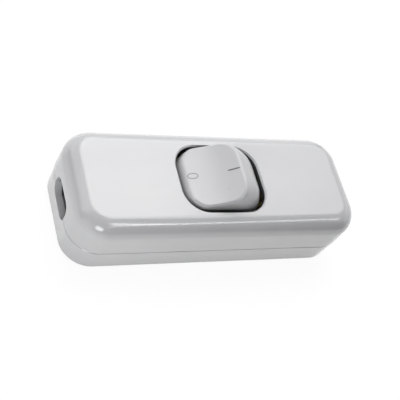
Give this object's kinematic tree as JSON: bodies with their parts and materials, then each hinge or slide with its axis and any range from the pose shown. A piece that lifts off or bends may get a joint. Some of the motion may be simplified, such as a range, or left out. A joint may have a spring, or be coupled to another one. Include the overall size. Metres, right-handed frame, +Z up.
{
  "type": "inline cord switch",
  "caption": "White inline rocker switch for a flat mains cord: two-part rounded housing, cord entry at each end, dished rocker on top.",
  "frame": {"origin": "middle of the base's footprint, on the surface that the switch lies on", "axes": "+X along the housing from the O end to the I end, +Z up out of the roof, +Y across the housing"},
  "size_m": [0.08, 0.0302, 0.0233],
  "materials": {
    "shell_plastic": "glossy white moulded plastic",
    "rocker_plastic": "glossy white moulded plastic",
    "plunger_plastic": "natural moulded plastic",
    "clamp_plastic": "satin white moulded plastic",
    "contact_brass": "stamped brass",
    "contact_silver": "silver contact",
    "screw_steel": "zinc-plated steel",
    "spring_steel": "spring wire"
  },
  "bodies": {
    "housing": {"lower_shell": "shell_plastic", "upper_shell": "shell_plastic", "pivot_terminal": "contact_brass", "fixed_terminal": "contact_brass", "fixed_contact_tip": "contact_silver", "pivot_terminal_screw": "screw_steel", "fixed_terminal_screw": "screw_steel", "neutral_connector": "contact_brass", "neutral_screw_left": "screw_steel", "neutral_screw_right": "screw_steel", "left_cord_clamp": "clamp_plastic", "left_clamp_screw_front": "screw_steel", "left_clamp_screw_rear": "screw_steel", "right_cord_clamp": "clamp_plastic", "right_clamp_screw_front": "screw_steel", "right_clamp_screw_rear": "screw_steel", "left_housing_screw": "screw_steel", "right_housing_screw": "screw_steel"},
    "rocker": {"rocker": "rocker_plastic", "rocker_spring": "spring_steel"},
    "plunger": {"spring_plunger": "plunger_plastic"},
    "contact_blade": {"moving_contact": "contact_brass", "moving_contact_tip": "contact_silver"}
  },
  "joints": [
    {"name": "rocker_tilt", "type": "hinge", "parent": "housing", "child": "rocker", "pos_m": [0, 0, 0.0123], "axis": [0, 1, 0], "range_deg": [0, 42]},
    {"name": "blade_tilt", "type": "hinge", "parent": "housing", "child": "contact_blade", "pos_m": [0, 0, 0.0066], "axis": [0, 1, 0], "range_deg": [-16.8, 0]},
    {"name": "plunger_slide", "type": "slide", "parent": "rocker", "child": "plunger", "axis": [-0.3584, 0, 0.9336], "range_m": [0, 0.0003]}
  ],
  "couplings": [
    {"joint": "blade_tilt", "follows": "rocker_tilt", "ratio": -0.4}
  ]
}
